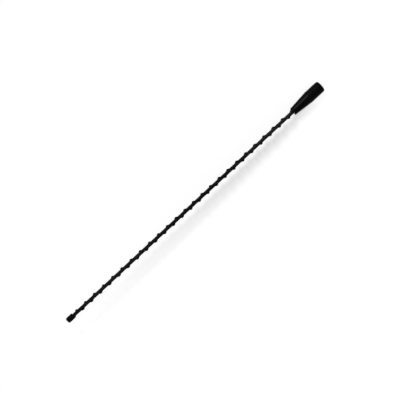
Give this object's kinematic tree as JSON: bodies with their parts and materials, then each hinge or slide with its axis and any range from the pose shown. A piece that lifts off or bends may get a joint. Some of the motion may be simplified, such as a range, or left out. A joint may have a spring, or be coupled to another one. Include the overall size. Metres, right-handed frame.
{
  "type": "car mast aerial",
  "caption": "Thin black radio mast with a spiral anti-whistle rib, a small tip cap and a tapered moulded boot that screws onto a stud on the car.",
  "frame": {"origin": "middle of the boot's foot, at the mouth of the threaded socket", "axes": "+Z along the mast, from the socket to the tip cap; -Z out of the socket, towards the car"},
  "size_m": [0.0142, 0.0142, 0.4],
  "materials": {
    "boot_rubber": "satin moulded black",
    "sheath_black": "satin black",
    "cap_black": "satin moulded black",
    "ferrule_brass": "turned, bright",
    "spring_steel": "drawn"
  },
  "bodies": {
    "root": {"boot": "boot_rubber", "threaded_ferrule": "ferrule_brass", "whip_rod": "spring_steel", "ribbed_sheath": "sheath_black", "tip_cap": "cap_black"}
  },
  "joints": []
}
